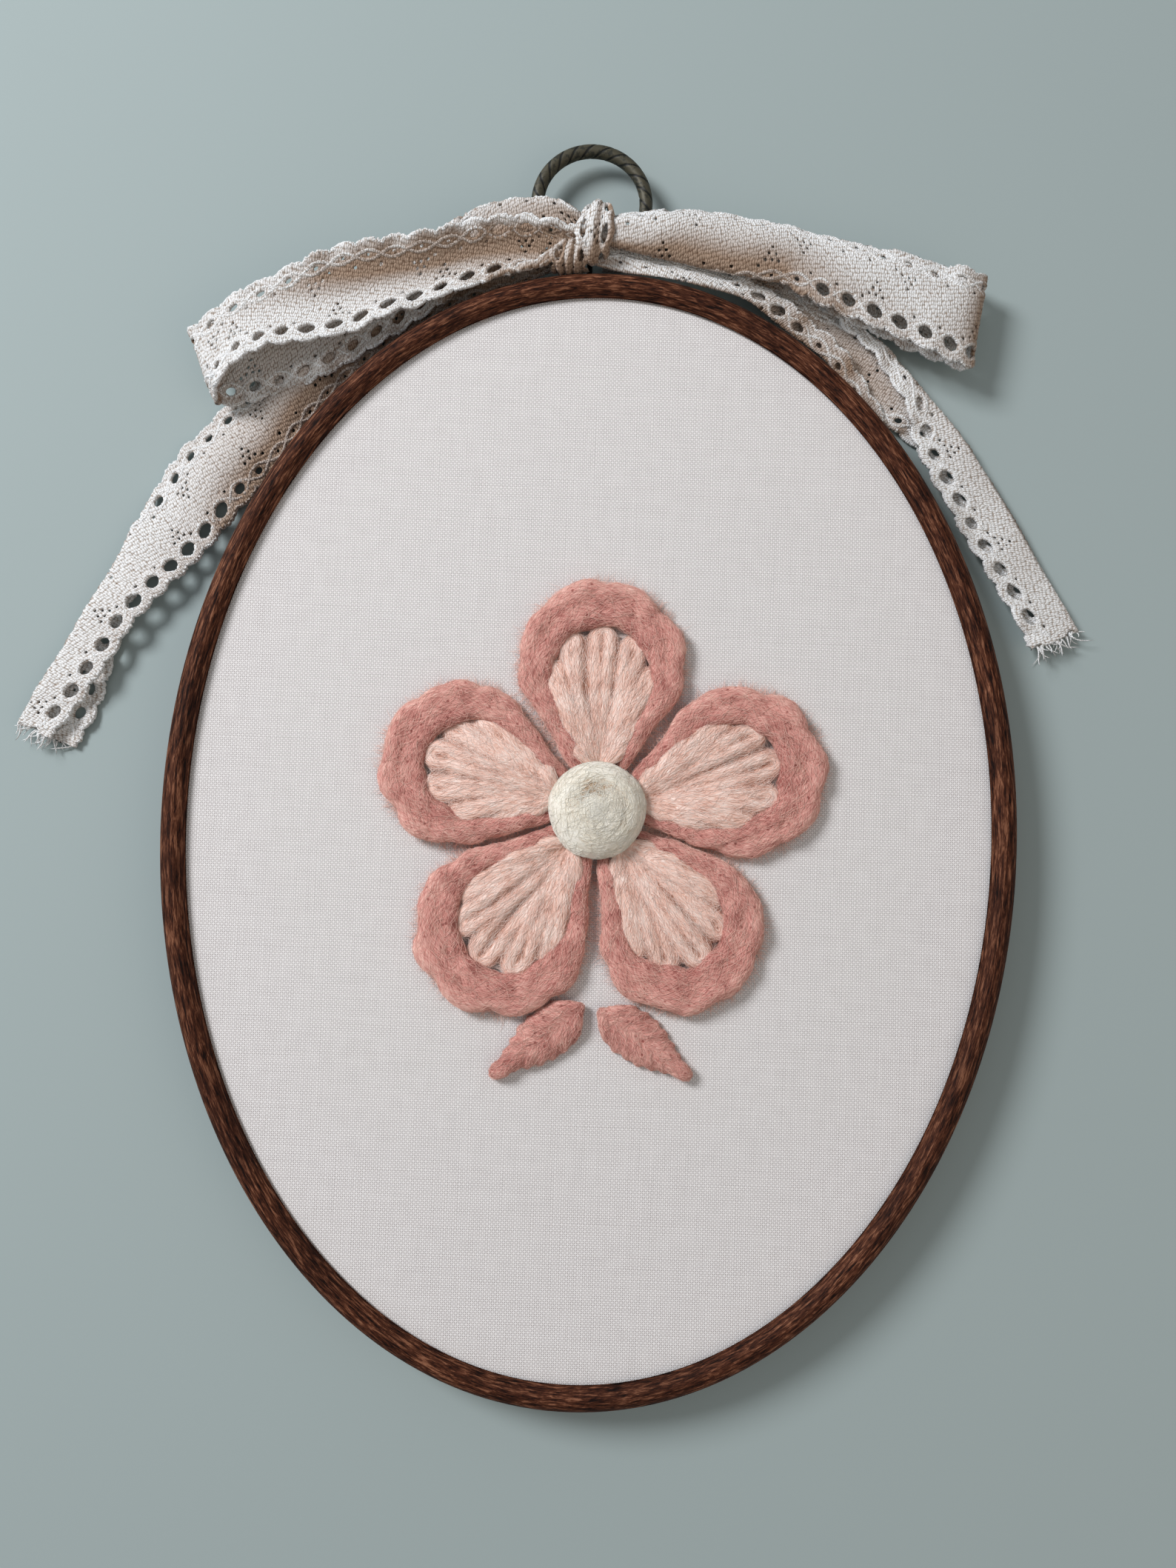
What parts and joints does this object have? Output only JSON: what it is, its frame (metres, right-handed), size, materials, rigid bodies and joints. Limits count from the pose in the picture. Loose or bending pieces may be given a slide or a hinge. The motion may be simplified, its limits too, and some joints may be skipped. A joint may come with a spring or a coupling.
{
  "type": "embroidery hoop art with its oval hoop",
  "caption": "Oval embroidery hoop with cloth drawn flat, a raised wool flower, a hanging ring and a lace bow, lying on its back.",
  "frame": {"origin": "middle of the whole object's box on the plane that the hoop's back lies on", "axes": "+Y up the picture towards the hanging ring, +Z out of the picture's face, +X to the picture's right"},
  "size_m": [0.218, 0.2594, 0.0172],
  "materials": {
    "hoop_vinyl": "dark brown wood-look grain, satin",
    "inner_plastic": "plain, matte",
    "cotton_cloth": "plain weave, matte",
    "aged_bronze": "antique, dark in its grooves",
    "cotton_lace": "thread lace, matte",
    "dusty_pink_wool": "soft fibres, matte",
    "blush_wool": "soft fibres, matte",
    "cream_wool": "soft fibres, matte"
  },
  "bodies": {
    "root": {"outer_hoop": "hoop_vinyl", "inner_hoop": "inner_plastic", "cloth": "cotton_cloth", "hanging_ring": "aged_bronze", "ring_eye": "aged_bronze", "lace_bow": "cotton_lace", "centre_ball": "cream_wool", "petal_edge_1": "dusty_pink_wool", "petal_edge_2": "dusty_pink_wool", "petal_edge_3": "dusty_pink_wool", "petal_edge_4": "dusty_pink_wool", "petal_edge_5": "dusty_pink_wool", "petal_heart_1": "blush_wool", "petal_heart_2": "blush_wool", "petal_heart_3": "blush_wool", "petal_heart_4": "blush_wool", "petal_heart_5": "blush_wool", "leaf_left": "dusty_pink_wool", "leaf_right": "dusty_pink_wool"}
  },
  "joints": []
}
